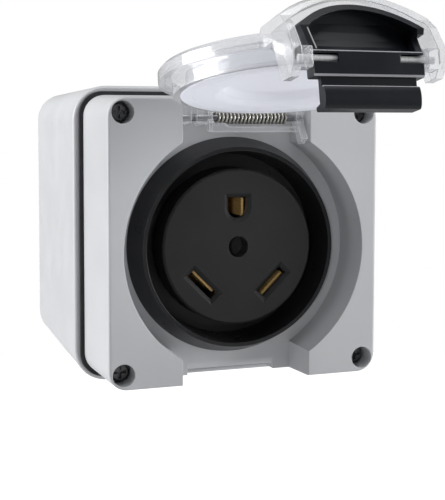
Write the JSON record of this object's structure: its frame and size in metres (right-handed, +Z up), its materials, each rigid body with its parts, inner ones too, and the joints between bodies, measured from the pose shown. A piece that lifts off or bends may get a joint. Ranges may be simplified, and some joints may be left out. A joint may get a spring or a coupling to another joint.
{
  "type": "RV power outlet box",
  "caption": "Surface-mounted RV power outlet box: a deep wall box with a round travel-trailer socket under a clear, spring-held flap with a finger latch.",
  "frame": {"origin": "centre of the box's flat wall face", "axes": "+Z up, +X to the right of a person who faces the socket, +Y from the socket into the wall"},
  "size_m": [0.1104, 0.2179, 0.1332],
  "materials": {
    "box_plastic": "satin",
    "frame_plastic": "satin",
    "plug_plastic": "satin",
    "seal_rubber": "matte",
    "insert_brass": "turned",
    "screw_steel": "plated",
    "ring_plastic": "satin",
    "face_plastic": "satin",
    "base_plastic": "matte",
    "contact_brass": "plain",
    "clamp_steel": "plated",
    "pin_steel": "ground",
    "spring_steel": "drawn wire",
    "flap_clear": "clear polycarbonate",
    "flap_seal_white": "satin",
    "latch_plastic": "satin"
  },
  "bodies": {
    "box": {"back_box": "box_plastic", "top_entry_plug": "plug_plastic", "top_entry_seal": "seal_rubber", "bottom_entry_plug": "plug_plastic", "bottom_entry_seal": "seal_rubber", "box_gasket": "seal_rubber", "thread_inserts": "insert_brass", "front_frame": "frame_plastic", "frame_screws": "screw_steel", "outlet_ring": "ring_plastic", "ring_seal": "seal_rubber", "ring_nut": "ring_plastic", "outlet_face": "face_plastic", "outlet_base": "base_plastic", "ground_contact": "contact_brass", "line_contact": "contact_brass", "neutral_contact": "contact_brass", "wire_clamps": "clamp_steel", "terminal_screws": "screw_steel", "outlet_fixing_screws": "screw_steel", "outlet_base_screws": "screw_steel", "hinge_pin": "pin_steel", "flap_spring": "spring_steel"},
    "lid": {"flap": "flap_clear", "flap_seal": "flap_seal_white", "latch_pin": "pin_steel"},
    "finger_latch": {"latch": "latch_plastic"}
  },
  "joints": [
    {"name": "lid_hinge", "type": "hinge", "parent": "box", "child": "lid", "pos_m": [0, -0.1151, 0.0433], "axis": [1, 0, 0], "range_deg": [0, 101.1], "stiffness_Nm_per_rad": 0.02, "springref_deg": -114.59},
    {"name": "latch_pivot", "type": "hinge", "parent": "lid", "child": "finger_latch", "pos_m": [0, -0.2132, 0.05908], "axis": [1, 0, 0], "range_deg": [0, 22]}
  ]
}
